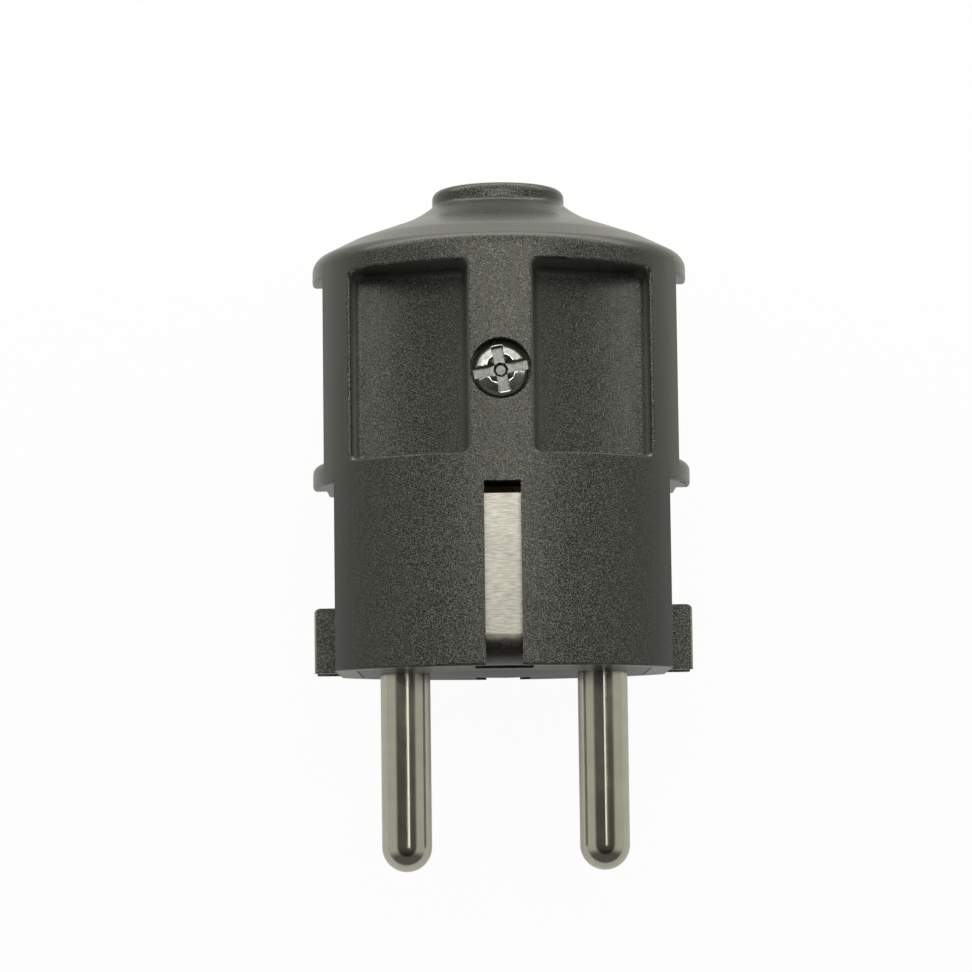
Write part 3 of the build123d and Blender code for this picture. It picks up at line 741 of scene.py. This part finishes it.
def screw_tree():
    """Geometry nodes that draw one screw from its named sizes."""
    tree = bpy.data.node_groups.new("cheese_head_screw", "GeometryNodeTree")
    new_socket = tree.interface.new_socket
    for name, value in LENGTH_INPUTS.items():
        new_socket(name, in_out="INPUT", socket_type="NodeSocketFloat").default_value = value
    for name, kind in OTHER_INPUTS.items():
        new_socket(name, in_out="INPUT", socket_type=kind)
    new_socket("Screw", in_out="OUTPUT", socket_type="NodeSocketGeometry")
    given = node_of(tree, "NodeGroupInput").outputs
    place = node_of(tree, "GeometryNodeInputPosition").outputs[0]
    here = node_of(tree, "ShaderNodeSeparateXYZ", place).outputs

    head = crowned_head(tree, given, here)
    slotted = joined(tree, "DIFFERENCE", drive_cutters(tree, given), head)
    whole = joined(tree, "UNION", (slotted, threaded_shank(tree, given, here)))
    spot = node_of(tree, "GeometryNodePoints", Count=1, Position=given["Seat"])
    turn = node_of(tree, "ShaderNodeCombineXYZ", Z=given["Turn"])
    stand = node_of(
        tree, "GeometryNodeInstanceOnPoints",
        Points=spot.outputs[0], Instance=whole, Rotation=turn.outputs[0],
    )
    real = node_of(tree, "GeometryNodeRealizeInstances", stand.outputs[0]).outputs[0]
    paint = node_of(tree, "GeometryNodeSetMaterial", Geometry=real, Material=given["Finish"])
    node_of(tree, "NodeGroupOutput", Screw=paint.outputs[0])
    return tree


screw_nodes = screw_tree()
print("screw tree:", len(screw_nodes.nodes), "nodes")

# %% [markdown]
# ## Put the six screws in
# Two screws press the cord's wires in the pins' heads, one in the earth terminal, and two
# hold the cord clamp. The sixth pulls the two halves of the body together. Each has its own
# seat height and length, and a slot left where the screwdriver stopped. The tree is run
# once for each, and its result is kept as a plain mesh in the place of the plain screw.

# %% Make the six screws
STEPS_PER_TURN = 8
DOME_HEAD = {
    "Head radius": 2.55 * MM,
    "Head height": 1.95 * MM,
    "Dome": 0.45 * MM,
    "Slot width": 1.0 * MM,
    "Slot depth": 1.2 * MM,
    "Cross drive": True,
}
# Each screw: its x, y and seat height above the axis in mm, the length of its shank in mm,
# how far it is turned in degrees, and what its head has of its own.
SCREWS = {
    "left_pin_screw": (-9.5, -0.935, 4.1, 4.1, 24, {}),
    "right_pin_screw": (9.5, -0.935, 4.1, 4.1, -35, {}),
    "earth_screw": (0.0, -1.135, 3.5, 3.5, 62, {}),
    "left_clamp_screw": (-8.2, 22.065, 0.4, 6.3, 78, {}),
    "right_clamp_screw": (8.2, 22.065, 0.4, 6.3, 12, {}),
    "housing_screw": (0.0, 13.465, 15.3, 27.5, 10, DOME_HEAD),
}


def open_edges(mesh):
    """Count the edges of a mesh that don't join exactly two faces."""
    uses = {}
    for polygon in mesh.polygons:
        for key in polygon.edge_keys:
            uses[key] = uses.get(key, 0) + 1
    return sum(1 for count in uses.values() if count != 2)


def screw_mesh(node, settings):
    """Run the tree once with some settings and keep the mesh that it draws."""
    shell = put_in(f"{node}_tree", bpy.data.meshes.new(f"{node}_tree"))
    modifier = shell.modifiers.new("screw", "NODES")
    modifier.node_group = screw_nodes
    for item in screw_nodes.interface.items_tree:
        if item.in_out == "INPUT" and item.name in settings:
            modifier[item.identifier] = settings[item.name]
    graph = bpy.context.evaluated_depsgraph_get()
    mesh = bpy.data.meshes.new_from_object(shell.evaluated_get(graph))
    shell.modifiers.remove(modifier)
    bpy.data.objects.remove(shell)
    return mesh


for node, (x, y, seat, length, turn, head) in SCREWS.items():
    mesh = screw_mesh(node, {
        "Shank length": length * MM,
        "Thread steps": round(length * MM / LENGTH_INPUTS["Pitch"] * STEPS_PER_TURN),
        "Seat": (x * MM, y * MM, AXIS_HEIGHT + seat * MM),
        "Turn": radians(turn),
        "Finish": FINISHES[node],
        **head,
    })
    piece = put_in(f"{node}_threaded", mesh)
    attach(piece, "root")
    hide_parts(node)
    print(piece.name, len(mesh.polygons), "faces,", open_edges(mesh), "open edges")
